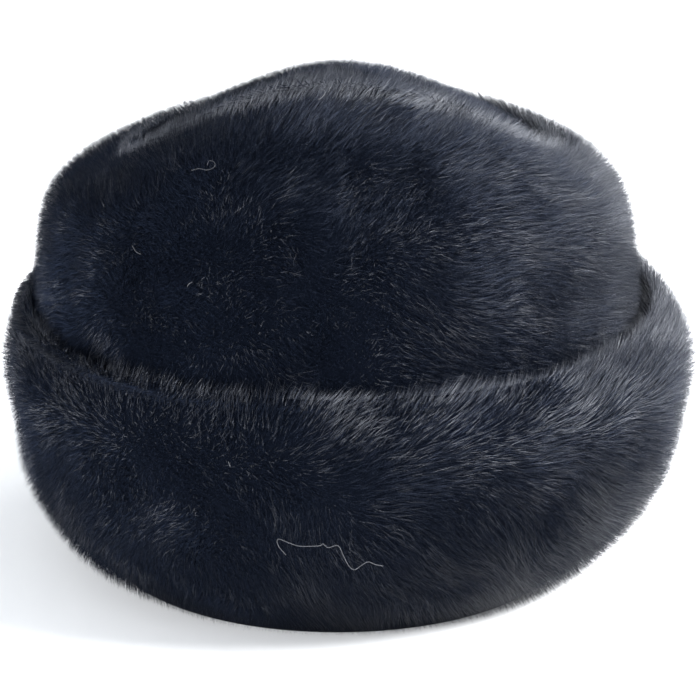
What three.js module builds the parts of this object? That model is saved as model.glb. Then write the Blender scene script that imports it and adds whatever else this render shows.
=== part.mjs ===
// A faux fur hat: an oval crown with an arched rim and a domed tip, and a deep turned-up cuff.
// Millimetres, +Z up, the wearer looking along -Y, resting on the folded lower edge of the cuff.
// Each piece is a wall of backing and pile. Its outside is fused locks of fur that lean along the nap.
import * as THREE from 'three';

// How finely the walls are cut: sectors round the hat, and steps between two rows of a table.
const SECTORS = 68;
const BAND_STEPS = 2;
const CUFF_STEPS = 2;
const TIP_STEPS = 2;

// The plan is an oval a little fuller than an ellipse, which has a power of 2.
const PLAN_POWER = 2.05;

// Wall thickness of backing with its pile, and of the bare backing at the hem.
const BAND_WALL = 9.5;
const TIP_WALL = 9;
const HEM_WALL = 3;

// Clear gaps: between the band and the cuff that hides its lower half, and along the crown seam.
const CUFF_GAP = 0.7;
const SEAM_GAP = 0.5;

// The crown seam lies inside the rim and runs down through the thickness of the wall.
const SEAM = { inward: 4, down: 3, lean: 3, depth: 9 };

// Locks of fur: how deep their roots lie, how far their tips stand out, how far these lean along
// the nap as a share of one cell, and how much a tip strays at random.
const LOCK = { root: 2.6, tip: 0.6, lean: 0.3, stray: 0.9, strayShare: 0.16 };
const LOCK_FLOOR = 1.2;
const FUR_SEED = 41;

const FUR = { color: 0x11151b, roughness: 0.72, metalness: 0 };
const TIP_FUR = { color: 0x0f1318, roughness: 0.78, metalness: 0 };
const CUFF_FUR = { color: 0x151a21, roughness: 0.7, metalness: 0 };

// Every table gives the tips of the fur as radius and height on four meridians.
// Columns: name, front radius, front height, right radius, right height,
// back radius, back height, left radius, left height.
const BAND_ROWS = [
  ['hem', 97, 5, 85, 5, 97, 5, 85, 5],
  ['low', 110, 34, 100, 34, 110, 34, 99, 34],
  ['waist', 123.5, 70, 111, 70, 123.5, 70, 111, 70],
  ['wall', 128, 100, 112, 100, 127, 99, 113.5, 100],
  ['upper', 121.5, 137, 110, 126, 121.5, 125, 112.5, 124],
  ['shoulder', 107, 160, 103.5, 142, 112, 141, 107, 139],
  ['brow', 83, 180, 92, 151, 98, 152, 92.5, 148],
  ['crest', 54, 190, 79, 156, 80, 159, 79, 153],
];

const TIP_ROWS = [
  ['edge', 49.5, 187.5, 74.5, 155, 75.5, 158, 74.5, 152],
  ['sink', 40, 186, 64, 161, 64, 165, 64, 158.5],
  ['slope', 26, 185, 43, 172.5, 44, 174.5, 43, 170.5],
  ['dome', 12, 184.5, 20, 181, 20, 181.5, 20, 180],
];
const TIP_TOP = 184.5;

const CUFF_ROWS = [
  ['foot', 102.5, 0, 92, 0, 102.5, 0, 92, 0],
  ['low', 117, 10.5, 109, 10.5, 117, 10.5, 107.5, 10.5],
  ['belly', 134, 31.5, 125, 31.5, 134, 31.5, 119.5, 31.5],
  ['side', 142.5, 55, 131.5, 55, 142.5, 55, 123.5, 55],
  ['lip', 144.5, 77, 134.5, 77, 145, 77, 127, 77],
  ['roll', 140.5, 94, 128, 91.5, 140.5, 93, 122.5, 92],
  ['top', 134.5, 101.5, 119.5, 99, 134, 100.5, 118, 99],
];
// The cuff's own inner face starts this far below its top, and ends at the sole of the foot.
const CUFF_TUCK = { row: 'wall', below: 6 };
const FOOT_INNER = { x: 86, y: 98 };

// Turns a table's rows into profiles: one list of [radius, height] points for each meridian.
const MERIDIANS = ['front', 'right', 'back', 'left'];
function profiles(rows) {
  return MERIDIANS.map((_, m) => rows.map((row) => [row[1 + 2 * m], row[2 + 2 * m]]));
}

// A smooth curve through the points of a profile, in equal parts between each two of them.
function smooth(points, steps) {
  const curve = new THREE.CatmullRomCurve3(
    points.map(([r, z]) => new THREE.Vector3(r, 0, z)), false, 'catmullrom', 0.5);
  const count = (points.length - 1) * steps;
  return Array.from({ length: count + 1 }, (_, i) => {
    const p = curve.getPoint(i / count);
    return [p.x, p.z];
  });
}

// Moves each point of a profile along its inward normal. depth(i) is how far.
function offset(points, depth) {
  return points.map((p, i) => {
    const a = points[Math.max(i - 1, 0)];
    const b = points[Math.min(i + 1, points.length - 1)];
    const length = Math.hypot(b[0] - a[0], b[1] - a[1]);
    const d = depth(i);
    return [p[0] - d * (b[1] - a[1]) / length, p[1] + d * (b[0] - a[0]) / length];
  });
}

// One oval ring of points from a [radius, height] pair on each meridian, front, right, back, left.
function ring([front, right, back, left]) {
  return Array.from({ length: SECTORS }, (_, j) => {
    const turn = 2 * Math.PI * j / SECTORS;
    const c = Math.cos(turn);
    const s = Math.sin(turn);
    const bulge = (v) => Math.sign(v) * Math.abs(v) ** (2 / PLAN_POWER);
    const [across, along] = [c > 0 ? right : left, s > 0 ? back : front];
    return new THREE.Vector3(
      across[0] * bulge(c), along[0] * bulge(s), across[1] * c * c + along[1] * s * s);
  });
}

// Rings for each step of four matching profiles.
function rings(four) {
  return four[0].map((_, i) => ring(four.map((profile) => profile[i])));
}

// A repeatable random number from 0 to 1 for each call.
function randomFrom(seed) {
  let state = seed;
  return () => {
    state = (state * 1664525 + 1013904223) % 4294967296;
    return state / 4294967296;
  };
}

// The middle of a cell, pushed out along its normal and along the nap, which runs from the ring
// below to the ring above when nap is 1 and the other way when it is -1.
function lockTip(corners, nap, random) {
  const [a, b, c, d] = corners;
  const middle = new THREE.Vector3().add(a).add(b).add(c).add(d).multiplyScalar(0.25);
  const up = new THREE.Vector3().add(c).add(d).sub(a).sub(b).multiplyScalar(0.5);
  const side = new THREE.Vector3().add(b).add(c).sub(a).sub(d).multiplyScalar(0.5);
  const normal = new THREE.Vector3().crossVectors(side, up).normalize();
  const strayUp = LOCK.strayShare * (2 * random() - 1);
  const straySide = LOCK.strayShare * (2 * random() - 1);
  const out = LOCK.root + LOCK.tip + LOCK.stray * (random() - 0.5);
  middle.addScaledVector(normal, out);
  middle.addScaledVector(up, nap * LOCK.lean + strayUp).addScaledVector(side, straySide);
  middle.z = Math.max(middle.z, LOCK_FLOOR);
  return middle;
}

// Joins a list of rings into one closed mesh. Each band between two rings holds plain quads, or a
// lock for each cell where nap(i) isn't 0. With looped, the last ring joins the first, as in a
// wall round a hollow. Otherwise the two ends close on the points given as poles.
function wallMesh(name, ringList, nap, material, { looped = true, poles = [] } = {}) {
  const points = ringList.flat();
  const triangles = [];
  const random = randomFrom(FUR_SEED + name.length);
  const at = (i, j) => (i % ringList.length) * SECTORS + (j % SECTORS);
  const bands = looped ? ringList.length : ringList.length - 1;
  for (let i = 0; i < bands; i++) {
    for (let j = 0; j < SECTORS; j++) {
      const cell = [at(i, j), at(i, j + 1), at(i + 1, j + 1), at(i + 1, j)];
      if (nap(i) === 0) {
        triangles.push(cell[0], cell[1], cell[2], cell[0], cell[2], cell[3]);
        continue;
      }
      const tip = points.push(lockTip(cell.map((k) => points[k]), nap(i), random)) - 1;
      cell.forEach((k, n) => triangles.push(k, cell[(n + 1) % 4], tip));
    }
  }
  const [first, last] = poles.map((pole) => points.push(pole) - 1);
  for (let j = 0; j < SECTORS && !looped; j++) {
    triangles.push(at(0, j + 1), at(0, j), first);
    triangles.push(at(bands, j), at(bands, j + 1), last);
  }
  const geometry = new THREE.BufferGeometry();
  geometry.setAttribute('position', new THREE.Float32BufferAttribute(
    points.flatMap((p) => [p.x, p.y, p.z]), 3));
  geometry.setIndex(triangles);
  geometry.computeVertexNormals();
  const mesh = new THREE.Mesh(geometry, new THREE.MeshStandardMaterial(material));
  mesh.name = name;
  return mesh;
}

const bandSkin = profiles(BAND_ROWS).map((points) => smooth(points, BAND_STEPS));
const rowIndex = (rows, name) => rows.findIndex((row) => row[0] === name);
const bandWall = rowIndex(BAND_ROWS, 'wall') * BAND_STEPS;

// The crown's side band: cloth at the hem, fur from the wall up, over the arched rim and down
// to the seam inside it, then the backing back down to the hem.
function crownBand() {
  const hemToWall = (i) => HEM_WALL + (BAND_WALL - HEM_WALL) * Math.min(i / bandWall, 1);
  const four = bandSkin.map((skin) => {
    const crest = skin[skin.length - 1];
    const seam = [crest[0] - SEAM.inward, crest[1] - SEAM.down];
    const foot = [seam[0] - SEAM.lean, seam[1] - SEAM.depth];
    const roots = offset(skin, (i) => (i > bandWall ? LOCK.root : 0));
    const backing = offset(skin, hemToWall).slice(0, -BAND_STEPS).reverse();
    return [...roots, seam, foot, ...backing];
  });
  const lastLock = bandSkin[0].length - 1;
  const nap = (i) => (i >= bandWall && i < lastLock ? 1 : 0);
  return wallMesh('crown_band', rings(four), nap, FUR);
}

// The oval tip, sewn inside the rim: it dips at the seam and rises to a low dome.
function crownTip() {
  const crests = profiles(BAND_ROWS).map((points) => points[points.length - 1]);
  const four = profiles(TIP_ROWS).map((points, m) => {
    const skin = offset(smooth(points, TIP_STEPS), () => LOCK.root);
    const [r, z] = [crests[m][0] - SEAM.inward - SEAM_GAP, crests[m][1] - SEAM.down];
    const edge = [[r - SEAM.lean, z - SEAM.depth], [r, z]];
    const inner = offset(smooth(points, 1), () => TIP_WALL).slice(1).reverse();
    return [...inner, ...edge, ...skin.slice(1)];
  });
  const list = rings(four);
  const firstLock = TIP_ROWS.length;
  const nap = (i) => (i >= firstLock && i < list.length - 2 ? -1 : 0);
  const poles = [new THREE.Vector3(0, 0, TIP_TOP - TIP_WALL), new THREE.Vector3(0, 0, TIP_TOP)];
  return wallMesh('crown_tip', list, nap, TIP_FUR, { looped: false, poles });
}

// The cuff: a flat sole under the fold, a bowl of fur rising to a rounded roll, and an inner face
// that follows the band down to the sole.
function cuff() {
  const tuck = bandWall;
  const four = profiles(CUFF_ROWS).map((points, m) => {
    const skin = smooth(points, CUFF_STEPS);
    const roots = offset(skin, (i) => (i > 0 ? LOCK.root : 0));
    const face = bandSkin[m].slice(1, tuck + 1).map(([r, z], i) => [
      r + CUFF_GAP, i === tuck - 1 ? z - CUFF_TUCK.below : z]).reverse();
    const inner = m % 2 ? FOOT_INNER.x : FOOT_INNER.y;
    return [...roots, ...face, [inner, 0]];
  });
  const locks = (CUFF_ROWS.length - 1) * CUFF_STEPS;
  const nap = (i) => (i < locks ? 1 : 0);
  return wallMesh('cuff', rings(four), nap, CUFF_FUR);
}

const hat = new THREE.Group();
hat.add(crownBand(), crownTip(), cuff());

// The origin is under the middle of the hat's own box.
const middle = new THREE.Box3().setFromObject(hat).getCenter(new THREE.Vector3());
hat.position.set(-middle.x, -middle.y, 0);

export default hat;
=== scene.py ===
"""Dresses a faux fur hat in deep pile: dense undercoats over a knitted backing, and bare strands."""
import math

import bpy
import numpy as np
from bpy.props import FloatProperty, FloatVectorProperty, IntProperty, PointerProperty
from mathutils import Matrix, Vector


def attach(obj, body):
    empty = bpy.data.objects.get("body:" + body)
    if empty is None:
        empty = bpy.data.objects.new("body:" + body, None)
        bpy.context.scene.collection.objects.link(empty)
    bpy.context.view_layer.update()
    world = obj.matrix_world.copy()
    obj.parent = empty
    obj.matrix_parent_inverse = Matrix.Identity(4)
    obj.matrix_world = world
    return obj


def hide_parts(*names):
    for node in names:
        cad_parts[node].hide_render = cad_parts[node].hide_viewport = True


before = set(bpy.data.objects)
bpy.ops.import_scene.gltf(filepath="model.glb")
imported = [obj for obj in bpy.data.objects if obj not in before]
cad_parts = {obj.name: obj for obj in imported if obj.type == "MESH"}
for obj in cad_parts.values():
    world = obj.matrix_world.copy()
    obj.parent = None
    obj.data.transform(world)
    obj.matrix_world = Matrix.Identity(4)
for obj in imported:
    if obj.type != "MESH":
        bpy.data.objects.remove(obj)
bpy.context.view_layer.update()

bl_info = {
    "name": "Faux Fur Hat",
    "version": (1, 0, 0),
    "blender": (4, 5, 0),
    "location": "3D View > Sidebar > Hat",
    "description": "Builds the fur, backing and stage of a cuffed faux fur hat",
    "category": "Add Mesh",
}

MM = 0.001
BODY = "root"
# How much longer the fur stands along the rim, in millimetres.
FRINGE = 1.0
# The share of the band's fur field, from the waist up, that the cuff hides and that stays bare.
HIDDEN_SHARE = 0.1

# The plan is an oval a little fuller than an ellipse, which has a power of 2.
PLAN_POWER = 2.05

# Each table gives the tips of the fur in millimetres on four meridians.
# Columns: name, front radius, front height, right radius, right height,
# back radius, back height, left radius, left height.
BAND_ROWS = (
    ("hem", 97, 5, 85, 5, 97, 5, 85, 5),
    ("low", 110, 34, 100, 34, 110, 34, 99, 34),
    ("waist", 123.5, 70, 111, 70, 123.5, 70, 111, 70),
    ("wall", 128, 100, 112, 100, 127, 99, 113.5, 100),
    ("upper", 121.5, 137, 110, 126, 121.5, 125, 112.5, 124),
    ("shoulder", 107, 160, 103.5, 142, 112, 141, 107, 139),
    ("brow", 83, 180, 92, 151, 98, 152, 92.5, 148),
    ("crest", 54, 190, 79, 156, 80, 159, 79, 153),
)
TIP_ROWS = (
    ("edge", 49.5, 187.5, 74.5, 155, 75.5, 158, 74.5, 152),
    ("sink", 40, 186, 64, 161, 64, 165, 64, 158.5),
    ("slope", 26, 185, 43, 172.5, 44, 174.5, 43, 170.5),
    ("dome", 12, 184.5, 20, 181, 20, 181.5, 20, 180),
    ("pole", 0.4, 184.5, 0.4, 184.5, 0.4, 184.5, 0.4, 184.5),
)
CUFF_ROWS = (
    ("foot", 102.5, 0, 92, 0, 102.5, 0, 92, 0),
    ("low", 117, 10.5, 109, 10.5, 117, 10.5, 107.5, 10.5),
    ("belly", 134, 31.5, 125, 31.5, 134, 31.5, 119.5, 31.5),
    ("side", 142.5, 55, 131.5, 55, 142.5, 55, 123.5, 55),
    ("lip", 144.5, 77, 134.5, 77, 145, 77, 127, 77),
    ("roll", 140.5, 94, 128, 91.5, 140.5, 93, 122.5, 92),
    ("top", 134.5, 101.5, 119.5, 99, 134, 100.5, 118, 99),
    ("tuck", 129.5, 95.5, 113.5, 94, 128.5, 95, 114.5, 94),
)
# A row that only the strands follow, over the rim to the seam.
RIM_FUR = ("rim_inside", 50, 187.5, 75, 153.5, 76, 156.5, 75, 150.5)

# The frame's origin is under the middle of its box, and the ovals' own middle is the cuff's foot.
OVAL_MIDDLE = np.array([-3.67, -0.22, 0.0])

# Walls, in millimetres: the cloth at the hem, the crown's wall and tip, and the gaps between pieces.
HEM_WALL = 3.0
BAND_WALL = 9.5
TIP_WALL = 9.0
CUFF_GAP = 0.7
SEAM_GAP = 0.5
SEAM_INWARD = 4.0
SEAM_DOWN = 3.0
SEAM_LEAN = 3.0
SEAM_DEPTH = 9.0
FOOT_INNER = (98.0, 86.0, 98.0, 86.0)

# How finely the undercoats are cut.
SECTORS = 180
STEPS = 6

# Loose fibres caught on the fur. Each has its radius in millimetres, then its points, as how far
# round the hat and how far up the field they lie, from 0 to 1.
CUFF_LINT = (
    (0.13, ((0.7292, 0.3786), (0.7261, 0.4), (0.7261, 0.4167), (0.7303, 0.4095), (0.7344, 0.4024),
           (0.7389, 0.4024), (0.7436, 0.4048), (0.7447, 0.4095), (0.7467, 0.4), (0.7506, 0.4048),
           (0.7525, 0.381), (0.7547, 0.3548), (0.7569, 0.3452), (0.7594, 0.3548), (0.7622, 0.3643),
           (0.765, 0.3571), (0.7683, 0.3524))),
    (0.12, ((0.7064, 0.5905), (0.7068, 0.584), (0.7072, 0.5786))),
)
BAND_LINT = (
    (0.08, ((0.6708, 0.5778), (0.6756, 0.5806), (0.6808, 0.575), (0.6847, 0.5806), (0.6839, 0.5917),
            (0.6803, 0.5972), (0.68, 0.5861))),
    (0.11, ((0.6453, 0.3944), (0.6483, 0.3806), (0.6517, 0.375))),
    (0.13, ((0.6794, 0.3167), (0.6803, 0.3222), (0.6819, 0.325))),
    (0.13, ((0.7392, 0.7306), (0.7414, 0.7389), (0.7431, 0.7556), (0.7411, 0.7639))),
)

# How many shades of strand there are.
SHADES = 64

# Where along a strand its painted glint, a painted highlight, lies, from 0 at the root to 1 at the tip,
# and how far that strays. Each row is an edge: where it starts and ends, and the share of the
# painted glint before and after it.
GLINT_SPAN = ((0.48, 0.62, 0, 1), (0.78, 1.0, 1, 0.25))
GLINT_SPREAD = 0.22

# The grid on which strands are placed.
FIELD_SECTORS = 360
FIELD_STEPS = 12

# Seeds of the undercoats' noise. The strands' seeds lie FUR_SEED further on.
BAND_SEED, TIP_SEED, CUFF_SEED = 11, 12, 13
FUR_SEED = 10

# How high the undercoats roll, in millimetres, in waves of this length in metres and this share.
BAND_LUMPS, TIP_LUMPS, CUFF_LUMPS = 0.8, 0.7, 0.9
LARGE_LUMPS, SMALL_LUMPS = (0.03, 0.6), (0.009, 0.4)
# How thin the undercoat is at the foot of the crown's fur, and how much thinner in the cuff's tuck.
THINNEST = 0.3
TUCK_THINNER = 0.75
# Where the hat's right starts and is complete, on a scale from 0 at its left to 1 at its right.
RIGHT_SIDE = (0.4, 0.85)

# The pile parts along soft noise of these two wavelengths, in metres, the second of this size.
SWIRL_LENGTHS = (0.045, 0.016)
SWIRL_SMALL = 0.35
# The least rise per length of a strand that its length makes up for.
LEAST_RISE = 0.5
# The fur is longer past the skin by this share on the hat's right, and between these x in metres.
RIGHT_LONGER = 0.6
RIGHT_SPAN = (0.02, 0.1)
# How unequal the strands are: soft noise of a wavelength in metres, its share, and chance's share.
UNEVEN_LENGTH = 0.008
UNEVEN_SOFT = 0.5
UNEVEN_CHANCE = 0.7
# How far roots stray, and the lowest place of a tip and of a root, in millimetres.
ROOT_STRAY = 0.1
LOWEST_TIP = 0.25
LOWEST_ROOT = 0.6
# How far a root is drawn back from its strand's lean, as a share of its depth.
ROOT_BACK = 0.6
# The slimmest and thickest strand, as shares of the strands' width.
WIDTH_SPAN = (0.7, 1.3)
# The power that makes light strands few, and patches of shade as wavelength in metres and size.
SHADE_POWER = 1.7
SHADE_PATCHES = ((0.03, 0.28), (0.009, 0.12))

# Where things start and are complete, as heights up a field from 0 to 1. On the crown: the rim's
# lean, its longer fur, its painted light fringe, the fringe's end, and the painted shadow below it.
RIM_LEAN = (0.68, 0.82)
RIM_LONGER = (0.72, 0.83)
FRINGE_START = (0.75, 0.775)
FRINGE_END = (0.81, 0.83)
SHADOW_START = (0.5, 0.66)
SHADOW_END = (0.74, 0.76)
# On the cuff: the roll's lean, where that lean goes again, the roll's painted highlight and the foot's
# painted shade.
ROLL_LEAN = (0.43, 0.68)
ROLL_LEAN_END = (0.74, 0.92)
ROLL_LIGHT = (0.5, 0.68)
FOOT_END = (0.15, 0.4)
# How far strands lean, per length along the normal: round the hat and down its right side, then
# what the crown's rim and the cuff's roll add to it upward and round.
ROUND_LEAN, DOWN_LEAN = 0.5, 0.2
RIM_UP, RIM_ROUND = 0.3, 0.2
ROLL_UP, ROLL_ROUND = 0.7, 0.1
# The share of the roll's lean that is gone again where it meets the crown.
ROLL_EASED = 0.7
# What is added to the strands' shades, on a scale from 0 to 1. On the crown: an even darkening,
# painted light on the right, and a painted shadow below the rim.
BAND_SHADE, RIGHT_PAINTED_LIGHT, PAINTED_SHADOW_SHADE = -0.15, 0.05, -0.2
# On the cuff: an even darkening, a painted highlight along the roll, and painted shade at the foot.
CUFF_SHADE, ROLL_PAINTED_LIGHT, FOOT_PAINTED_SHADE = -0.1, 0.45, -0.15
# On the tip: how its strands' shade, darkened as painted shade, and their length, in millimetres,
# differ.
TIP_PAINTED_SHADE = -0.5
TIP_LENGTH = -1.2

# The strands' roughness on the crown and the cuff, and how strongly they reflect.
CROWN_ROUGHNESS = 0.36
CUFF_ROUGHNESS = 0.34
STRAND_SPECULAR = 0.44
# The shades from which strands start to take the painted glint and take it in full.
GLINT_SHADES = (0.58, 0.96)


# Shapes

def profile(rows):
    """The table's numbers as an array of rows by meridian by radius and height. The meridians are
    front, right, back and left."""
    return np.array([row[1:] for row in rows], float).reshape(len(rows), 4, 2)


def smooth(points, steps):
    """A Catmull-Rom curve through the rows: each span blends its two ends and their neighbours by
    cubic weights, and past each end lies the mirror of the next row."""
    first = 2 * points[:1] - points[1:2]
    last = 2 * points[-1:] - points[-2:-1]
    p = np.concatenate([first, points, last])
    u = (np.arange(steps) / steps).reshape(1, steps, *([1] * (points.ndim - 1)))
    a, b, c, d = (p[k:len(p) - 3 + k][:, None] for k in range(4))
    spans = 0.5 * (2 * b + (c - a) * u + (2 * a - 5 * b + 4 * c - d) * u**2
                   + (3 * b - a - 3 * c + d) * u**3)
    return np.concatenate([spans.reshape(-1, *points.shape[1:]), points[-1:]])


def offset(points, depth):
    """Moves a profile's points inward by depth, along the normal of each meridian's own curve."""
    ahead = np.concatenate([points[1:], points[-1:]])
    behind = np.concatenate([points[:1], points[:-1]])
    run = ahead - behind
    run /= np.linalg.norm(run, axis=-1, keepdims=True)
    depth = np.broadcast_to(np.reshape(depth, (-1, 1)), points.shape[:2])
    return points + np.stack([-run[..., 1], run[..., 0]], -1) * depth[..., None]


def oval(points, turn):
    """Carries profiles round the oval: x and y are the radius of the meridian on that side times
    the cosine and sine to the power 2 / PLAN_POWER, and the height is the side's times the
    squared cosine plus the end's times the squared sine. The result is in metres."""
    c, s = np.cos(turn), np.sin(turn)
    front, right, back, left = (points[:, k, None, :] for k in range(4))
    across = np.where((c > 0)[None, :, None], right, left)
    along = np.where((s > 0)[None, :, None], back, front)
    bulge = 2 / PLAN_POWER
    x = across[..., 0] * np.sign(c) * np.abs(c)**bulge
    y = along[..., 0] * np.sign(s) * np.abs(s)**bulge
    z = across[..., 1] * c**2 + along[..., 1] * s**2
    return (np.stack([x, y, z], -1) + OVAL_MIDDLE) * MM


def turns(count):
    """Equal angles once round the hat."""
    return np.arange(count) * 2 * math.pi / count


def unit(v):
    """Vectors made one long."""
    return v / np.maximum(np.linalg.norm(v, axis=-1, keepdims=True), 1e-12)


def frames(grid):
    """Unit normal, direction up the rows and direction round the hat at each point of a grid:
    differences of neighbours along each of the two parameters, and their cross product."""
    up = np.gradient(grid, axis=0)
    side = np.roll(grid, -1, 1) - np.roll(grid, 1, 1)
    normal = unit(np.cross(side, up))
    up = unit(up)
    return normal, up, unit(np.cross(up, normal))


def waves(points, seed, length, count=14):
    """Soft noise from -1 to 1: the mean of sine waves of about one length in random directions."""
    rng = np.random.default_rng(seed)
    way = unit(rng.normal(size=(count, 3))) * rng.uniform(0.6, 1.5, (count, 1))
    phase = rng.uniform(0, 2 * math.pi, count)
    flat = points.reshape(-1, 3) @ way.T * (2 * math.pi / length) + phase
    return (np.sin(flat).sum(1) * math.sqrt(2 / count) * 0.6).reshape(points.shape[:-1])


# Meshes

def mesh_object(name, vertices, faces):
    """A smooth object from an array of vertices and one of faces with equally many corners each."""
    mesh = bpy.data.meshes.new(name)
    corners = faces.shape[1]
    mesh.vertices.add(len(vertices))
    mesh.vertices.foreach_set("co", np.ascontiguousarray(vertices, np.float32).ravel())
    mesh.loops.add(faces.size)
    mesh.loops.foreach_set("vertex_index", faces.astype(np.int32).ravel())
    mesh.polygons.add(len(faces))
    mesh.polygons.foreach_set("loop_start", np.arange(0, faces.size, corners, dtype=np.int32))
    mesh.polygons.foreach_set("use_smooth", np.full(len(faces), True))
    mesh.update(calc_edges=True)
    mesh.validate()
    piece = bpy.data.objects.new(name, mesh)
    bpy.context.scene.collection.objects.link(piece)
    return piece


def ring_faces(rings, sectors, looped):
    """Quads between each ring and the next, and with looped between the last and the first."""
    i = np.arange(rings if looped else rings - 1)[:, None]
    j = np.arange(sectors)[None]
    below, above = i * sectors, (i + 1) % rings * sectors
    ahead = (j + 1) % sectors
    return np.stack([below + j, below + ahead, above + ahead, above + j], -1).reshape(-1, 4)


def wall_object(name, grid, coat, looped=True):
    """A closed wall through the rings of a grid. Without looped its two ends close on fans of
    quads round a point at the middle of the end ring. The rings in coat, a range, are the fur
    side, whose faces take the second material."""
    rings, sectors = grid.shape[:2]
    faces = ring_faces(rings, sectors, looped)
    row = np.repeat(np.arange(rings if looped else rings - 1), sectors)
    vertices = grid.reshape(-1, 3)
    if not looped:
        caps = []
        for ring, flip in ((0, True), (rings - 1, False)):
            middle = grid[ring].mean(0)
            j = np.arange(0, sectors, 2)
            start = ring * sectors
            fan = [start + j, start + j + 1, start + (j + 2) % sectors,
                   np.full(len(j), len(vertices))]
            caps.append(np.stack(fan[::-1] if flip else fan, -1))
            vertices = np.vstack([vertices, middle])
            row = np.append(row, np.full(len(j), ring))
        faces = np.vstack([faces, *caps])
    piece = mesh_object(name, vertices, faces)
    piece.data.polygons.foreach_set(
        "material_index", ((row >= coat.start) & (row < coat.stop)).astype(np.int32))
    return piece


def lumpy(grid, coat, seed, depth):
    """Raises and sinks the fur side's rings along their normals by soft noise, so that the
    undercoat rolls as a thick pile does."""
    normal = frames(grid)[0]
    large, small = (waves(grid, seed + n, span) * share
                    for n, (span, share) in enumerate((LARGE_LUMPS, SMALL_LUMPS)))
    height = large + small
    fade = np.zeros(len(grid))
    fade[coat.start:coat.stop] = 1
    return grid + normal * (height * fade[:, None] * depth)[..., None]


# Fur

class Field:
    """A skin of fur tips, cut into fine cells, from which strands are drawn evenly by area."""

    def __init__(self, rows, first, last):
        names = [row[0] for row in rows]
        keep = slice(names.index(first) * FIELD_STEPS, names.index(last) * FIELD_STEPS + 1)
        grid = oval(smooth(profile(rows), FIELD_STEPS), turns(FIELD_SECTORS))
        self.grid, self.normal, self.up, self.side = (a[keep] for a in (grid, *frames(grid)))

    def draw(self, count, rng, density=None):
        """count points spread evenly by area times density, each mixed from its cell's corners,
        with the skin's directions there, and how far up the field and round the hat it lies."""
        g = self.grid
        right = np.roll(g, -1, 1)
        area = np.linalg.norm(np.cross(right[:-1] - g[:-1], g[1:] - g[:-1]), axis=-1)
        if density is not None:
            area = area * density(np.linspace(0, 1, area.shape[0])[:, None])
        total = np.cumsum(area.ravel())
        pick = (np.arange(count) + rng.random(count)) / count * total[-1]
        cell = np.minimum(np.searchsorted(total, pick), area.size - 1)
        i, j = np.divmod(cell, area.shape[1])
        s, t = rng.random((2, count, 1))
        k = (j + 1) % area.shape[1]

        def mixed(a):
            """The corners' values by their distances: along each row first, then between rows."""
            low = a[i, j] * (1 - s) + a[i, k] * s
            high = a[i + 1, j] * (1 - s) + a[i + 1, k] * s
            return low * (1 - t) + high * t

        ways = [unit(mixed(a)) for a in (self.normal, self.up, self.side)]
        height = (i + t[:, 0]) / area.shape[0]
        turn = (j + s[:, 0]) / area.shape[1]
        return mixed(g), *ways, height, turn

    def at(self, turn, height, lift):
        """Points on the skin, each from its two numbers, raised by lift along the normal."""
        rows, sectors = self.grid.shape[:2]
        across = np.asarray(turn) * sectors
        along = np.asarray(height) * (rows - 1)
        j, i = np.floor(across).astype(int) % sectors, np.minimum(along.astype(int), rows - 2)
        s, t = (across % 1)[:, None], (along - i)[:, None]
        raised = self.grid + self.normal * lift
        k = (j + 1) % sectors
        low = raised[i, j] * (1 - s) + raised[i, k] * s
        return low * (1 - t) + (raised[i + 1, j] * (1 - s) + raised[i + 1, k] * s) * t


def rising(x, low, high):
    """A smooth step: 0 below low, 1 above high, and 3 t squared less 2 t cubed between them."""
    t = np.clip((x - low) / (high - low), 0, 1)
    return t * t * (3 - 2 * t)


def rightward(turn):
    """1 on the hat's right, 0 on its left, with a smooth step across the front and back."""
    return rising(0.5 + 0.5 * np.cos(2 * math.pi * turn), *RIGHT_SIDE)


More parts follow.
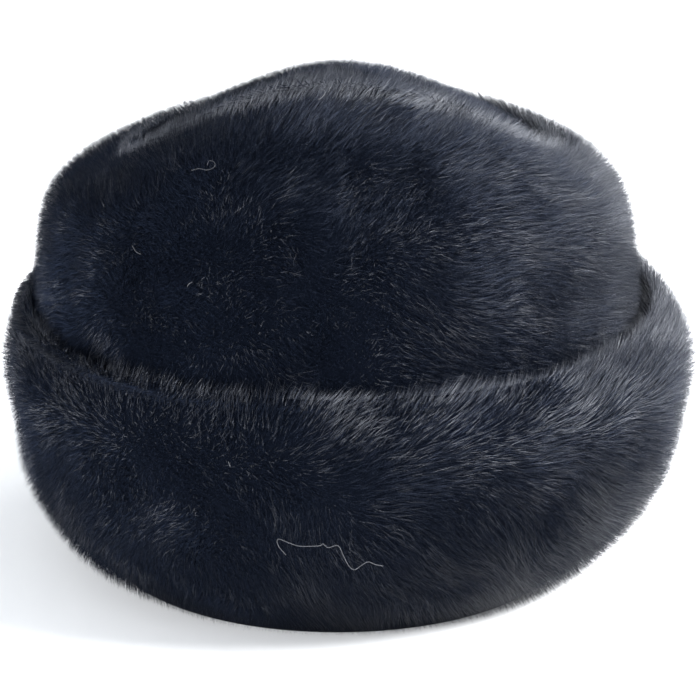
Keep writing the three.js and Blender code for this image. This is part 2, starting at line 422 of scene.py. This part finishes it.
def strand_objects(name, field, count, parts, seed, sizes, nap, light, extra, density=None):
    """Bare strands as slim closed needles: a root triangle below the skin and one tip at it. Each
    points along the normal, leaned by nap(height, turn) up the rows and round the hat, by soft
    noise that parts the pile, and by its tuft, whose strands share a jitter. Its shade is random,
    raised by light(height, turn), which paints light and shade onto the strands, and by soft
    patches. It is longer by extra(height) millimetres and on the hat's right. parts is how many
    pieces with equally many strands the field is split into, and density(height) is the share of
    strands there."""
    rng = np.random.default_rng(seed)
    place, normal, up, side, height, turn = field.draw(count, rng, density)

    def swirl(first):
        """The lean by which the pile parts: large waves and a share of small ones."""
        large, small = (waves(place, seed + first + n, SWIRL_LENGTHS[n]) for n in range(2))
        return sizes.swirl * (large + SWIRL_SMALL * small)

    lean_up, lean_side = nap(height, turn)
    lean_up, lean_side = lean_up + swirl(1), lean_side + swirl(3)
    tuft = tuft_jitter(place, seed + 5, sizes.tuft * MM)
    jitter = tuft * sizes.tuft_pull + rng.normal(size=(count, 3)) * sizes.stray
    way = unit(normal + up * lean_up[:, None] + side * lean_side[:, None] + jitter)
    rise = (way * normal).sum(1)
    depth = sizes.root_depth * MM
    uneven = waves(place, seed + 6, UNEVEN_LENGTH) * UNEVEN_SOFT + rng.normal(size=count) * UNEVEN_CHANCE
    beyond = sizes.beyond * (1 + RIGHT_LONGER * rising(place[:, 0], *RIGHT_SPAN)) + extra(height)
    length = (depth + (beyond + uneven * sizes.uneven) * MM) / np.maximum(rise, LEAST_RISE)
    root = place - normal * depth + rng.normal(size=(count, 3)) * ROOT_STRAY * MM
    root -= (way - normal * rise[:, None]) * (depth * ROOT_BACK)
    tip = root + way * length[:, None]
    tip[:, 2] = np.maximum(tip[:, 2], LOWEST_TIP * MM)
    root[:, 2] = np.maximum(root[:, 2], LOWEST_ROOT * MM)
    width = sizes.strand_width * MM * rng.uniform(*WIDTH_SPAN, count) / 2
    large, small = (size * waves(place, seed + 7 + n, span)
                    for n, (span, size) in enumerate(SHADE_PATCHES))
    # light adds painted light and painted shade to each strand's shade.
    shade = rng.random(count)**SHADE_POWER + light(height, turn) + (large + small)
    made = []
    order = np.argsort(height, kind="stable")
    for n, chunk in enumerate(np.array_split(order, parts)):
        label = name if parts == 1 else f"{name}_{n + 1}"
        made.append(needles(label, root[chunk], tip[chunk], width[chunk], shade[chunk], rng))
    return made


def tuft_jitter(place, seed, size):
    """One random vector for each cube of a lattice, so that all strands rooted in it share it.
    Large primes mix the cube's place into a number, and large sines of that into the vector."""
    cell = np.floor(place / size).astype(np.int64)
    key = (cell * np.array([73856093, 19349663, 83492791]) + seed * 2654435761).sum(1)
    draws = [np.sin(key % 100003 * (12.9898 + 7.77 * k)) * 43758.5453 for k in range(3)]
    return np.stack([2 * (d - np.floor(d)) - 1 for d in draws], -1)


def needles(name, root, tip, width, shade, rng):
    """One mesh of closed three-sided needles. The root's corners lie width from its middle, at
    thirds of a turn about the needle. Each needle's map is one of SHADES narrow columns, dark to
    light as shade is 0 to 1, and runs from 0 at the root to 1 at the tip."""
    count = len(root)
    way = unit(tip - root)
    helper = np.where(np.abs(way[:, 2:]) > 0.8, [[1.0, 0, 0]], [[0, 0, 1.0]])
    a = unit(np.cross(way, helper))
    b = np.cross(way, a)
    spin = rng.uniform(0, 2 * math.pi, count)
    corners = []
    for third in range(3):
        angle = (spin + third * 2 * math.pi / 3)[:, None]
        corners.append(root + (a * np.cos(angle) + b * np.sin(angle)) * width[:, None])
    vertices = np.stack([*corners, tip], 1).reshape(-1, 3)
    start = np.arange(count)[:, None, None] * 4
    faces = (start + np.array([[0, 1, 3], [1, 2, 3], [2, 0, 3], [2, 1, 0]])).reshape(-1, 3)
    piece = mesh_object(name, vertices, faces)
    column = np.floor(np.clip(shade, 0, 0.999) * SHADES)[:, None, None]
    across = np.array([0.2, 0.8, 0.5])
    u = np.broadcast_to((column + across) / SHADES, (count, 4, 3))
    v = np.broadcast_to(np.array([[0, 0, 1], [0, 0, 1], [0, 0, 1], [0, 0, 0.02]], float), (count, 4, 3))
    layer = piece.data.uv_layers.new(name="OFBake")
    layer.data.foreach_set("uv", np.stack([u, v], -1).astype(np.float32).ravel())
    return piece


def tube(path, radius, sides=5):
    """A closed round tube along a path: rings of corners about each point, in the plane across
    the path there, and a point at each end. Returns vertices and triangles."""
    along = unit(np.gradient(path, axis=0))
    a = unit(np.cross(along, [0.3, 0.2, 1.0]))
    b = np.cross(along, a)
    angle = turns(sides)[None, :, None]
    rings = path[:, None] + (a[:, None] * np.cos(angle) + b[:, None] * np.sin(angle)) * radius
    quads = ring_faces(len(path), sides, False)
    faces = np.vstack([quads[:, [0, 1, 2]], quads[:, [0, 2, 3]]])
    j = np.arange(sides)
    ahead, count = (j + 1) % sides, len(path) * sides
    first = np.stack([ahead, j, np.full(sides, count)], -1)
    last = np.stack([j, ahead, np.full(sides, 0)], -1) + count - sides
    last[:, 2] = count + 1
    return np.vstack([rings.reshape(-1, 3), path[:1], path[-1:]]), np.vstack([faces, first, last])


# Materials

def new_material(name):
    """A material with only a Principled shader and its output, and the shader's node."""
    material = bpy.data.materials.new(name)
    material.use_nodes = True
    shader = material.node_tree.nodes["Principled BSDF"]
    return material, material.node_tree, shader


def node(tree, kind, **values):
    """A new node with its properties set, and its inputs where a name ends in _in."""
    made = tree.nodes.new(kind)
    for key, value in values.items():
        if key.endswith("_in"):
            made.inputs[key[:-3].replace("_", " ")].default_value = value
        else:
            setattr(made, key, value)
    return made


def mix_colours(tree, factor, low, high):
    """A colour mix by a socket's value, from low to high."""
    mix = node(tree, "ShaderNodeMix", data_type="RGBA")
    tree.links.new(factor, mix.inputs["Factor"])
    for socket, value in ((mix.inputs[6], low), (mix.inputs[7], high)):
        if isinstance(value, bpy.types.NodeSocket):
            tree.links.new(value, socket)
        else:
            socket.default_value = (*value, 1)
    return mix.outputs[2]


def strand_material(name, colours, roughness):
    """Blue-black strands, of which the lighter ones carry a painted glint, a painted highlight in their
    base colour, along a part of their length, where their specular tint is raised too. It reads
    the needles' own map: shade across it, and root to tip up it."""
    material, tree, shader = new_material(name)
    uv = node(tree, "ShaderNodeUVMap", uv_map="OFBake")
    split = node(tree, "ShaderNodeSeparateXYZ")
    tree.links.new(uv.outputs["UV"], split.inputs[0])
    rise = node(tree, "ShaderNodeMapRange", From_Min_in=0.25, From_Max_in=0.95)
    tree.links.new(split.outputs["Y"], rise.inputs["Value"])
    body = mix_colours(tree, rise.outputs[0], colours.root, colours.tip)
    shade = node(tree, "ShaderNodeMapRange", From_Min_in=GLINT_SHADES[0],
                 From_Max_in=GLINT_SHADES[1], interpolation_type="SMOOTHSTEP")
    tree.links.new(split.outputs["X"], shade.inputs["Value"])
    column = node(tree, "ShaderNodeMath", operation="MULTIPLY")
    column.inputs[1].default_value = float(SHADES)
    tree.links.new(split.outputs["X"], column.inputs[0])
    whole = node(tree, "ShaderNodeMath", operation="FLOOR")
    tree.links.new(column.outputs[0], whole.inputs[0])
    chance = node(tree, "ShaderNodeTexWhiteNoise", noise_dimensions="1D")
    tree.links.new(whole.outputs[0], chance.inputs["W"])
    place = node(tree, "ShaderNodeMath", operation="MULTIPLY_ADD")
    place.inputs[1].default_value = GLINT_SPREAD
    tree.links.new(chance.outputs["Value"], place.inputs[0])
    tree.links.new(split.outputs["Y"], place.inputs[2])
    lift = shade.outputs[0]
    for low, high, start, end in GLINT_SPAN:
        edge = node(tree, "ShaderNodeMapRange", From_Min_in=low, From_Max_in=high, To_Min_in=start,
                    To_Max_in=end, interpolation_type="SMOOTHSTEP")
        tree.links.new(place.outputs[0], edge.inputs["Value"])
        both = node(tree, "ShaderNodeMath", operation="MULTIPLY")
        tree.links.new(lift, both.inputs[0])
        tree.links.new(edge.outputs[0], both.inputs[1])
        lift = both.outputs[0]
    # The lighter base colour here is a painted glint, a painted highlight along part of the strand.
    tree.links.new(mix_colours(tree, lift, body, colours.painted_glint), shader.inputs["Base Color"])
    shader.inputs["Roughness"].default_value = roughness
    shader.inputs["Specular IOR Level"].default_value = STRAND_SPECULAR
    tint = mix_colours(tree, lift, colours.dark_sheen, colours.sheen)
    tree.links.new(tint, shader.inputs["Specular Tint"])
    return material


def pile_material(name, colours):
    """The dense undercoat between the strands: near black, with fine fibrous relief."""
    material, tree, shader = new_material(name)
    place = node(tree, "ShaderNodeTexCoord")
    fibres = node(tree, "ShaderNodeTexNoise", Scale_in=900.0, Detail_in=4.0, Roughness_in=0.65)
    clouds = node(tree, "ShaderNodeTexNoise", Scale_in=70.0, Detail_in=3.0)
    for texture in (fibres, clouds):
        tree.links.new(place.outputs["Object"], texture.inputs["Vector"])
    dark = mix_colours(tree, clouds.outputs["Fac"], colours.depth, colours.root)
    tree.links.new(dark, shader.inputs["Base Color"])
    bump = node(tree, "ShaderNodeBump", Strength_in=0.9, Distance_in=0.0015)
    tree.links.new(fibres.outputs["Fac"], bump.inputs["Height"])
    tree.links.new(bump.outputs["Normal"], shader.inputs["Normal"])
    shader.inputs["Roughness"].default_value = 0.85
    shader.inputs["Specular IOR Level"].default_value = 0.05
    shader.inputs["Specular Tint"].default_value = (*colours.dark_sheen, 1)
    return material


def backing_material(name, colours):
    """The knitted back of the fur cloth: fine courses and wales, worn a little lighter."""
    material, tree, shader = new_material(name)
    place = node(tree, "ShaderNodeTexCoord")
    height = node(tree, "ShaderNodeTexWave", wave_type="BANDS", bands_direction="Z",
                  Scale_in=210.0, Distortion_in=1.2, Detail_in=2.0, Detail_Scale_in=3.0)
    cells = node(tree, "ShaderNodeTexVoronoi", Scale_in=650.0)
    clouds = node(tree, "ShaderNodeTexNoise", Scale_in=40.0, Detail_in=4.0)
    for texture in (height, cells, clouds):
        tree.links.new(place.outputs["Object"], texture.inputs["Vector"])
    colour = mix_colours(tree, clouds.outputs["Fac"], colours.backing, colours.backing_light)
    tree.links.new(colour, shader.inputs["Base Color"])
    both = node(tree, "ShaderNodeMath", operation="MULTIPLY_ADD")
    both.inputs[1].default_value = 0.6
    tree.links.new(height.outputs["Fac"], both.inputs[0])
    tree.links.new(cells.outputs["Distance"], both.inputs[2])
    bump = node(tree, "ShaderNodeBump", Strength_in=0.7, Distance_in=0.0006)
    tree.links.new(both.outputs[0], bump.inputs["Height"])
    tree.links.new(bump.outputs["Normal"], shader.inputs["Normal"])
    shader.inputs["Roughness"].default_value = 0.9
    shader.inputs["Sheen Weight"].default_value = 0.15
    shader.inputs["Specular IOR Level"].default_value = 0.2
    return material


def lint_material(name, colours):
    """A pale loose fibre, uneven in colour along its length."""
    material, tree, shader = new_material(name)
    place = node(tree, "ShaderNodeTexCoord")
    noise = node(tree, "ShaderNodeTexNoise", Scale_in=500.0, Detail_in=2.0)
    tree.links.new(place.outputs["Object"], noise.inputs["Vector"])
    tree.links.new(mix_colours(tree, noise.outputs["Fac"], colours.lint_dark, colours.lint),
                   shader.inputs["Base Color"])
    shader.inputs["Roughness"].default_value = 0.6
    return material


def shared(name, make, *values):
    """The material of that name, made on first use."""
    return bpy.data.materials.get(name) or make(name, *values)


def dress_wall(piece, cad_node, colours):
    """Gives a wall its backing and undercoat, and lets it stand for its CAD node."""
    piece.data.materials.append(shared("knitted_backing", backing_material, colours))
    piece.data.materials.append(shared("fur_undercoat", pile_material, colours))
    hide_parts(cad_node)
    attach(piece, BODY)


def dress_strands(pieces, material):
    """Gives strands their material and body."""
    for piece in pieces:
        piece.data.materials.append(material)
        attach(piece, BODY)


# Settings

def colour_property(name, description, default):
    """A colour that a user can change."""
    return FloatVectorProperty(name=name, description=description, default=default, subtype="COLOR",
                               min=0.0, max=1.0)


class HatColours(bpy.types.PropertyGroup):
    """Colours of the fur and its backing."""
    depth: colour_property("Depth", "Deepest part of the pile", (0.0019, 0.0027, 0.0050))
    root: colour_property("Root", "Foot of each strand", (0.0022, 0.0030, 0.0054))
    tip: colour_property("Tip", "End of each strand", (0.0021, 0.0029, 0.0052))
    # A painted highlight: the base colour of the glinting part of light strands.
    painted_glint: colour_property("Glint", "Lightest strands", (0.021, 0.0225, 0.028))
    dark_sheen: colour_property("Dark sheen", "Tint of the light on dark strands", (0.075, 0.108, 0.2))
    sheen: colour_property("Sheen", "Tint of the light on light strands", (0.9, 0.94, 1.0))
    lint_dark: colour_property("Lint, dark", "Dull stretches of the loose fibre", (0.012, 0.0125, 0.015))
    lint: colour_property("Lint", "Loose fibre caught in the fur", (0.042, 0.044, 0.05))
    backing: colour_property("Backing", "Knitted back of the cloth", (0.012, 0.012, 0.014))
    backing_light: colour_property("Backing, worn", "Rubbed parts of the back", (0.03, 0.03, 0.034))


class HatSizes(bpy.types.PropertyGroup):
    """Sizes of the pile, in millimetres, and how it lies."""
    undercoat: FloatProperty(name="Undercoat", description="Depth of the undercoat under the tips",
                             default=3.6, min=1, max=8)
    root_depth: FloatProperty(name="Root depth", description="Depth of the strands' roots",
                              default=7, min=2, max=15)
    beyond: FloatProperty(name="Beyond", description="How far the strands' tips pass the solid's",
                          default=1.8, min=0, max=5)
    strand_width: FloatProperty(name="Strand width", description="Width of a strand at its root",
                                default=0.26, min=0.05, max=1)
    uneven: FloatProperty(name="Unevenness", description="How unequal the strands' lengths are",
                          default=0.7, min=0, max=5)
    tuft: FloatProperty(name="Tuft", description="Size of the tufts that strands share",
                        default=1.6, min=0.3, max=8)
    tuft_pull: FloatProperty(name="Tuft pull", description="How far a tuft leans as one",
                             default=0.13, min=0, max=1)
    stray: FloatProperty(name="Stray", description="How far each strand strays", default=0.17,
                         min=0, max=1)
    swirl: FloatProperty(name="Swirl", description="How far the pile parts and turns", default=0.36,
                         min=0, max=1)
    band_strands: IntProperty(name="Crown strands", description="Strands on the crown's side",
                              default=92000, min=100)
    tip_strands: IntProperty(name="Tip strands", description="Strands on the crown's tip",
                             default=24000, min=100)
    cuff_strands: IntProperty(name="Cuff strands", description="Strands on the cuff",
                              default=108000, min=100)


# Pieces

class HAT_OT_crown_band(bpy.types.Operator):
    """Add the crown's side band with its fur"""
    bl_idname = "hat.crown_band"
    bl_label = "Crown Band"

    def execute(self, context):
        """The skin's rows from the hem to the crest, sunk by the undercoat's depth above the part
        that the cuff hides, then the seam's wall down to its foot, then the skin's rows offset
        inward by the cloth's thickness, back down to the hem."""
        sizes, colours = context.scene.hat_sizes, context.scene.hat_colours
        names = [row[0] for row in BAND_ROWS]
        skin = smooth(profile(BAND_ROWS), STEPS)
        wall = names.index("wall") * STEPS
        bare = wall - STEPS // 2
        i = np.arange(len(skin))
        thin = sizes.undercoat * (THINNEST + (1 - THINNEST) * rising(i, bare, wall + 3))
        crest = skin[-1:]
        seam = crest - np.array([SEAM_INWARD, SEAM_DOWN])
        foot = seam - np.array([SEAM_LEAN, SEAM_DEPTH])
        roots = offset(skin, np.where(i > bare, thin, 0))
        depth = HEM_WALL + (BAND_WALL - HEM_WALL) * np.minimum(i / wall, 1)
        backing = offset(skin, depth)[:-STEPS][::-1]
        grid = oval(np.concatenate([roots, seam, foot, backing]), turns(SECTORS))
        coat = range(bare, len(skin) + 1)
        grid = lumpy(grid, range(wall, len(skin) - 2), BAND_SEED, BAND_LUMPS * MM)
        dress_wall(wall_object("crown_band_pile", grid, coat), "crown_band", colours)
        field = Field((*BAND_ROWS, RIM_FUR), "waist", "rim_inside")
        strands = strand_objects("crown_band_fur", field, sizes.band_strands, 2,
                                 BAND_SEED + FUR_SEED, sizes, self.nap, self.light,
                                 lambda height: FRINGE * rising(height, *RIM_LONGER),
                                 lambda height: height > HIDDEN_SHARE)
        dress_strands(strands, shared("crown_fur", strand_material, colours, CROWN_ROUGHNESS))
        return {"FINISHED"}

    @staticmethod
    def nap(height, turn):
        """Brushed round the hat, downward on the right, and upward and further round at the rim."""
        rim = rising(height, *RIM_LEAN)
        return RIM_UP * rim - DOWN_LEAN * rightward(turn) * (1 - rim), ROUND_LEAN + RIM_ROUND * rim

    @staticmethod
    def light(height, turn):
        """Lightest just outside the rim, a painted highlight; darker above and below that, painted
        shade; and lighter on the right, painted light.
        """
        inside = rising(height, *FRINGE_END)
        # A painted highlight along the band just outside the rim.
        painted_fringe = rising(height, *FRINGE_START) * (1 - inside)
        # Painted shade inside the rim and in a band below it.
        dark = rising(height, *SHADOW_START) * (1 - rising(height, *SHADOW_END)) + inside
        return painted_fringe + RIGHT_PAINTED_LIGHT * rightward(turn) + BAND_SHADE + PAINTED_SHADOW_SHADE * dark


class HAT_OT_crown_tip(bpy.types.Operator):
    """Add the crown's oval tip with its fur"""
    bl_idname = "hat.crown_tip"
    bl_label = "Crown Tip"

    def execute(self, context):
        """The tip's inner rows from the middle outward, the seam's wall from its foot up, then the
        skin's rows, sunk by the undercoat's depth, back to the middle."""
        sizes, colours = context.scene.hat_sizes, context.scene.hat_colours
        crest = profile(BAND_ROWS)[-1:]
        skin = offset(smooth(profile(TIP_ROWS), STEPS), sizes.undercoat)[1:-2]
        top = crest - np.array([SEAM_INWARD + SEAM_GAP, SEAM_DOWN])
        bottom = top - np.array([SEAM_LEAN, SEAM_DEPTH])
        inner = offset(profile(TIP_ROWS), TIP_WALL)[1:-1][::-1]
        rows = np.concatenate([inner, bottom, top, skin])
        grid = oval(rows, turns(SECTORS))
        first = len(inner) + 1
        coat = range(first - 1, len(rows))
        grid = lumpy(grid, range(first + 3, len(rows) - 3), TIP_SEED, TIP_LUMPS * MM)
        dress_wall(wall_object("crown_tip_pile", grid, coat, looped=False), "crown_tip", colours)
        field = Field(TIP_ROWS, "edge", "pole")
        # The tip's strands are darkened throughout as painted shade.
        strands = strand_objects("crown_tip_fur", field, sizes.tip_strands, 1,
                                 TIP_SEED + FUR_SEED, sizes,
                                 lambda height, turn: (0 * height, 0 * height),
                                 lambda height, turn: TIP_PAINTED_SHADE, lambda height: TIP_LENGTH)
        dress_strands(strands, shared("crown_fur", strand_material, colours, CROWN_ROUGHNESS))
        return {"FINISHED"}


class HAT_OT_cuff(bpy.types.Operator):
    """Add the turned-up cuff with its fur"""
    bl_idname = "hat.cuff"
    bl_label = "Cuff"

    def execute(self, context):
        """The skin's rows from the foot to the tuck, sunk by the undercoat's depth, then down the
        crown's skin, a gap away from it, and across the sole back to the foot."""
        sizes, colours = context.scene.hat_sizes, context.scene.hat_colours
        names = [row[0] for row in BAND_ROWS]
        wall = names.index("wall") * STEPS
        skin = smooth(profile(CUFF_ROWS), STEPS)
        i = np.arange(len(skin))
        tuck = rising(i, len(skin) - 2 * STEPS, len(skin))
        fade = np.clip(i / STEPS, 0, 1) - TUCK_THINNER * tuck
        roots = offset(skin, sizes.undercoat * fade)
        face = smooth(profile(BAND_ROWS), STEPS)[1:wall - 2][::-1] + np.array([CUFF_GAP, 0])
        sole = np.stack([np.array(FOOT_INNER), np.zeros(4)], -1)[None]
        grid = oval(np.concatenate([roots[:-STEPS // 2], face, sole]), turns(SECTORS))
        coat = range(0, len(roots) + STEPS)
        grid = lumpy(grid, range(STEPS, len(roots) - STEPS), CUFF_SEED, CUFF_LUMPS * MM)
        dress_wall(wall_object("cuff_pile", grid, coat), "cuff", colours)
        field = Field(CUFF_ROWS, "foot", "tuck")
        strands = strand_objects("cuff_fur", field, sizes.cuff_strands, 3,
                                 CUFF_SEED + FUR_SEED, sizes, self.nap, self.light,
                                 lambda height: 0.0)
        dress_strands(strands, shared("cuff_fur", strand_material, colours, CUFF_ROUGHNESS))
        return {"FINISHED"}

    @staticmethod
    def nap(height, turn):
        """Brushed round the hat, downward on the right, and over the roll towards the crown."""
        roll = rising(height, *ROLL_LEAN) * (1 - ROLL_EASED * rising(height, *ROLL_LEAN_END))
        return ROLL_UP * roll - DOWN_LEAN * rightward(turn) * (1 - roll), ROUND_LEAN + ROLL_ROUND * roll

    @staticmethod
    def light(height, turn):
        """Lighter along the roll, a painted highlight, and darker towards the foot, painted shade."""
        foot = 1 - rising(height, *FOOT_END)
        return ROLL_PAINTED_LIGHT * rising(height, *ROLL_LIGHT) + FOOT_PAINTED_SHADE * foot + CUFF_SHADE


class HAT_OT_lint(bpy.types.Operator):
    """Add the loose fibres caught on the fur"""
    bl_idname = "hat.lint"
    bl_label = "Lint"

    def execute(self, context):
        cuff = Field(CUFF_ROWS, "foot", "tuck")
        band = Field((*BAND_ROWS, RIM_FUR), "waist", "rim_inside")
        lift = (context.scene.hat_sizes.beyond + 0.5) * MM
        vertices, faces, count = [], [], 0
        for field, fibres in ((cuff, CUFF_LINT), (band, BAND_LINT)):
            for radius, points in fibres:
                path = smooth(field.at(*np.array(points).T, lift), 4)
                corners, triangles = tube(path, radius * MM)
                vertices.append(corners)
                faces.append(triangles + count)
                count += len(corners)
        piece = mesh_object("lint", np.vstack(vertices), np.vstack(faces))
        dress_strands([piece], shared("lint_fibre", lint_material, context.scene.hat_colours))
        return {"FINISHED"}


# Stage

# The camera looks at a point just under the hat's middle, from this far and this high.
CAMERA_AIM = (0.9 * MM, 0.0, 71.9 * MM)
CAMERA_DISTANCE = 1056 * MM
CAMERA_ELEVATION = math.radians(18.5)
CAMERA_LENS = 141.4

# Lamps, aimed at the hat's middle: name, azimuth, elevation and power in watts.
LAMP_AIM = (0, 0, 0.08)
LAMP_DISTANCE = 1.4
LAMP_SIZE = 0.7
LAMP_COLOUR = (0.97, 0.98, 1.0)
LAMPS = (
    ("key_right", 70, 36, 60),
    ("side_right", 112, 36, 43),
    ("low_left", -35, 8, 45),
    ("back_right", 150, 36, 8),
)

SKY_COLOUR = (0.85, 0.92, 1, 1)
SKY_STRENGTH = 0.75
FLOOR_SECTORS = 96


def around(azimuth, elevation, distance, centre):
    """A point at that distance from the centre. Azimuth 0 is in front, at -Y, and 90 at the right."""
    a, e = math.radians(azimuth), math.radians(elevation)
    way = np.array([math.sin(a) * math.cos(e), -math.cos(a) * math.cos(e), math.sin(e)])
    return np.array(centre) + way * distance


def aim(thing, target):
    """Turns a lamp or camera so that it looks at the target."""
    thing.rotation_euler = (Vector(target) - thing.location).to_track_quat("-Z", "Y").to_euler()


class HAT_OT_stage(bpy.types.Operator):
    """Add the floor, backdrop, lamps and camera"""
    bl_idname = "hat.stage"
    bl_label = "Stage"

    def execute(self, context):
        scene = context.scene
        scene.view_settings.view_transform = "Standard"
        self.floor()
        self.world(scene)
        for name, azimuth, elevation, power in LAMPS:
            lamp = bpy.data.lights.new(name, "AREA")
            lamp.shape = "DISK"
            lamp.size, lamp.energy, lamp.color = LAMP_SIZE, power, LAMP_COLOUR
            thing = bpy.data.objects.new(name, lamp)
            scene.collection.objects.link(thing)
            thing.location = around(azimuth, elevation, LAMP_DISTANCE, LAMP_AIM)
            aim(thing, LAMP_AIM)
        camera = bpy.data.objects.new("camera", bpy.data.cameras.new("camera"))
        scene.collection.objects.link(camera)
        camera.data.lens = CAMERA_LENS
        camera.data.sensor_width = 36
        camera.location = around(0, math.degrees(CAMERA_ELEVATION), CAMERA_DISTANCE, CAMERA_AIM)
        aim(camera, CAMERA_AIM)
        scene.camera = camera
        return {"FINISHED"}

    @staticmethod
    def floor():
        """A wide pale disc that curves up into a backdrop far behind: radius and height follow a
        quarter circle at its rim."""
        rise = np.linspace(0, math.pi / 2, 13)
        radius = np.concatenate([[0.02, 0.5, 2.0], 3.0 + np.sin(rise), [4.0]])
        height = np.concatenate([[0, 0, 0], 1 - np.cos(rise), [4.0]])
        turn = turns(FLOOR_SECTORS)
        grid = np.stack([radius[:, None] * np.cos(turn), radius[:, None] * np.sin(turn),
                         height[:, None] * np.ones_like(turn)], -1)
        vertices = grid.reshape(-1, 3)
        faces = ring_faces(len(radius), FLOOR_SECTORS, False)[:, ::-1]
        j = np.arange(0, FLOOR_SECTORS, 2)
        centre = np.stack([np.full(len(j), len(vertices)), j, j + 1, (j + 2) % FLOOR_SECTORS], -1)
        floor = mesh_object("floor", np.vstack([vertices, [[0, 0, 0]]]), np.vstack([faces, centre]))
        material, tree, shader = new_material("pale_floor")
        place = node(tree, "ShaderNodeTexCoord")
        grain = node(tree, "ShaderNodeTexNoise", Scale_in=6.0, Detail_in=2.0)
        tree.links.new(place.outputs["Object"], grain.inputs["Vector"])
        colour = mix_colours(tree, grain.outputs["Fac"], (0.86, 0.86, 0.86), (0.9, 0.9, 0.9))
        tree.links.new(colour, shader.inputs["Base Color"])
        shader.inputs["Roughness"].default_value = 0.8
        floor.data.materials.append(material)

    @staticmethod
    def world(scene):
        """A pale even sky, which fills in the shadows."""
        world = bpy.data.worlds.new("studio")
        scene.world = world
        world.use_nodes = True
        sky = world.node_tree.nodes["Background"]
        sky.inputs["Color"].default_value = SKY_COLOUR
        sky.inputs["Strength"].default_value = SKY_STRENGTH


class HAT_PT_panel(bpy.types.Panel):
    """Lists the hat's pieces and settings"""
    bl_label = "Faux Fur Hat"
    bl_idname = "HAT_PT_panel"
    bl_space_type = "VIEW_3D"
    bl_region_type = "UI"
    bl_category = "Hat"

    def draw(self, context):
        layout = self.layout
        for operator in OPERATORS:
            layout.operator(operator.bl_idname)
        for group in (context.scene.hat_sizes, context.scene.hat_colours):
            box = layout.box()
            for key in group.__annotations__:
                box.prop(group, key)


OPERATORS = (HAT_OT_crown_band, HAT_OT_crown_tip, HAT_OT_cuff, HAT_OT_lint, HAT_OT_stage)
CLASSES = (HatColours, HatSizes, *OPERATORS, HAT_PT_panel)


def register():
    """Registers the classes and the settings."""
    for item in CLASSES:
        bpy.utils.register_class(item)
    bpy.types.Scene.hat_sizes = PointerProperty(type=HatSizes)
    bpy.types.Scene.hat_colours = PointerProperty(type=HatColours)


def unregister():
    """Takes them away again."""
    del bpy.types.Scene.hat_sizes
    del bpy.types.Scene.hat_colours
    for item in reversed(CLASSES):
        bpy.utils.unregister_class(item)


def main():
    """Builds the whole hat on its stage."""
    register()
    bpy.ops.hat.crown_band()
    bpy.ops.hat.crown_tip()
    bpy.ops.hat.cuff()
    bpy.ops.hat.lint()
    bpy.ops.hat.stage()


if __name__ == "__main__":
    main()
